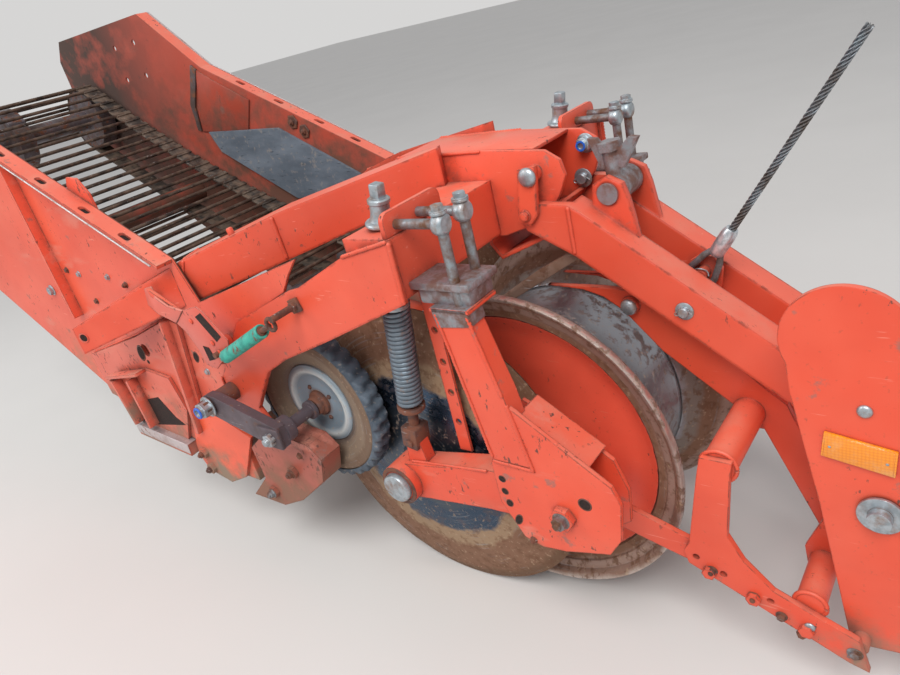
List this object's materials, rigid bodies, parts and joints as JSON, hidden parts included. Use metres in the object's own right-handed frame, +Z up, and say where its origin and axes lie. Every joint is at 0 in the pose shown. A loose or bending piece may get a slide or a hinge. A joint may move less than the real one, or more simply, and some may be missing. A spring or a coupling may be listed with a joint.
{
  "type": "potato harvester lifting unit",
  "caption": "Digging and lifting unit of a one-row trailed potato harvester: sieving web channel, cutting discs, haulm wheels and ridge roller on red beams.",
  "frame": {"origin": "centre of the rear web drive shaft, in the unit's mid-plane", "axes": "+X forward along the machine, +Y to the machine's left, +Z up, square to the clamp bolts"},
  "size_m": [2.769, 0.9096, 1.259],
  "materials": {
    "red_paint": "satin red-orange paint, faded and chipped, rust at the edges",
    "orange_paint": "fresh orange-red paint with a muddy lower edge",
    "worn_steel": "dark steel with thin brown rust",
    "web_steel": "rusty steel rods and belts, polished on top",
    "zinc": "dull zinc with rust stains",
    "spring_steel": "blue-grey phosphated spring steel",
    "green_paint": "turquoise paint, scuffed to brown",
    "earth_steel": "soil-polished steel with rust and dried earth",
    "rubber": "dusty grey rubber sheet",
    "tyre_rubber": "worn black rubber lugs on a rusty rim",
    "amber_lens": "amber reflector plastic"
  },
  "bodies": {
    "lifting_frame": {"near_side_wall": "red_paint", "far_side_wall": "red_paint", "near_flap": "rubber", "far_flap": "rubber", "web_drive_shaft": "worn_steel", "web_front_shaft": "worn_steel", "sieving_web": "web_steel", "channel_cross_tubes": "red_paint", "near_lower_plate": "red_paint", "far_lower_plate": "red_paint", "near_cross_beam": "red_paint", "far_cross_beam": "red_paint", "centre_box": "red_paint", "near_outrigger": "red_paint", "far_outrigger": "red_paint", "near_clamp": "zinc", "far_clamp": "zinc", "near_leg": "red_paint", "far_leg": "red_paint", "near_guide_strip": "red_paint", "far_guide_strip": "red_paint", "near_adjuster": "zinc", "far_adjuster": "zinc", "near_spring": "spring_steel", "far_spring": "spring_steel", "digging_share": "worn_steel", "near_share_carrier": "orange_paint", "far_share_carrier": "orange_paint", "near_skid_shoe": "red_paint", "far_skid_shoe": "red_paint", "near_haulm_post": "worn_steel", "far_haulm_post": "worn_steel", "latch_lever": "red_paint", "latch_spring": "green_paint", "near_upper_arm": "red_paint", "far_upper_arm": "red_paint", "arm_cross_pin": "worn_steel", "lift_rope": "zinc"},
    "near_arm_swing": {"near_swing_arm": "red_paint"},
    "far_arm_swing": {"far_swing_arm": "red_paint"},
    "near_cutting_disc": {"near_disc": "earth_steel", "near_disc_hub": "worn_steel"},
    "far_cutting_disc": {"far_disc": "earth_steel", "far_disc_hub": "worn_steel"},
    "near_haulm_lever": {"near_haulm_arm": "worn_steel"},
    "far_haulm_lever": {"far_haulm_arm": "worn_steel"},
    "near_haulm_roller": {"near_haulm_wheel": "tyre_rubber"},
    "far_haulm_roller": {"far_haulm_wheel": "tyre_rubber"},
    "depth_carriage": {"depth_frame": "red_paint", "near_depth_bracket": "red_paint", "far_depth_bracket": "red_paint", "depth_panel": "red_paint", "reflector": "amber_lens", "depth_axle": "worn_steel"},
    "ridge_roller": {"depth_roller": "earth_steel"},
    "spindle": {"depth_spindle": "zinc"}
  },
  "joints": [
    {"name": "near_arm_pivot", "type": "hinge", "parent": "lifting_frame", "child": "near_arm_swing", "pos_m": [2.1, -0.28, -0.644], "axis": [0, 1, 0], "range_deg": [0, 9], "stiffness_Nm_per_rad": 1500, "springref_deg": -5.73, "deforming": ["near_spring"]},
    {"name": "near_disc_spin", "type": "hinge", "parent": "near_arm_swing", "child": "near_cutting_disc", "pos_m": [1.749, -0.28, -0.682], "axis": [0, 1, 0], "continuous": true},
    {"name": "near_haulm_pivot", "type": "hinge", "parent": "lifting_frame", "child": "near_haulm_lever", "pos_m": [1.349, -0.39, -0.528], "axis": [0, 1, 0], "range_deg": [-10, 0]},
    {"name": "near_haulm_spin", "type": "hinge", "parent": "near_haulm_lever", "child": "near_haulm_roller", "pos_m": [1.532, -0.275, -0.567], "axis": [0, 1, 0], "continuous": true},
    {"name": "far_arm_pivot", "type": "hinge", "parent": "lifting_frame", "child": "far_arm_swing", "pos_m": [2.1, 0.28, -0.644], "axis": [0, 1, 0], "range_deg": [0, 9], "stiffness_Nm_per_rad": 1500, "springref_deg": -5.73, "deforming": ["far_spring"]},
    {"name": "far_disc_spin", "type": "hinge", "parent": "far_arm_swing", "child": "far_cutting_disc", "pos_m": [1.749, 0.28, -0.682], "axis": [0, 1, 0], "continuous": true},
    {"name": "far_haulm_pivot", "type": "hinge", "parent": "lifting_frame", "child": "far_haulm_lever", "pos_m": [1.349, 0.39, -0.528], "axis": [0, 1, 0], "range_deg": [-10, 0]},
    {"name": "far_haulm_spin", "type": "hinge", "parent": "far_haulm_lever", "child": "far_haulm_roller", "pos_m": [1.532, 0.275, -0.567], "axis": [0, 1, 0], "continuous": true},
    {"name": "depth_pivot", "type": "hinge", "parent": "lifting_frame", "child": "depth_carriage", "pos_m": [2.495, 0, -0.628], "axis": [0, 1, 0], "range_deg": [-10, 0]},
    {"name": "ridge_roller_spin", "type": "hinge", "parent": "depth_carriage", "child": "ridge_roller", "pos_m": [1.922, 0, -0.66], "axis": [0, 1, 0], "continuous": true},
    {"name": "spindle_trunnion", "type": "hinge", "parent": "lifting_frame", "child": "spindle", "pos_m": [2.104, 0, -0.227], "axis": [0, 1, 0], "range_deg": [0, 8]}
  ]
}
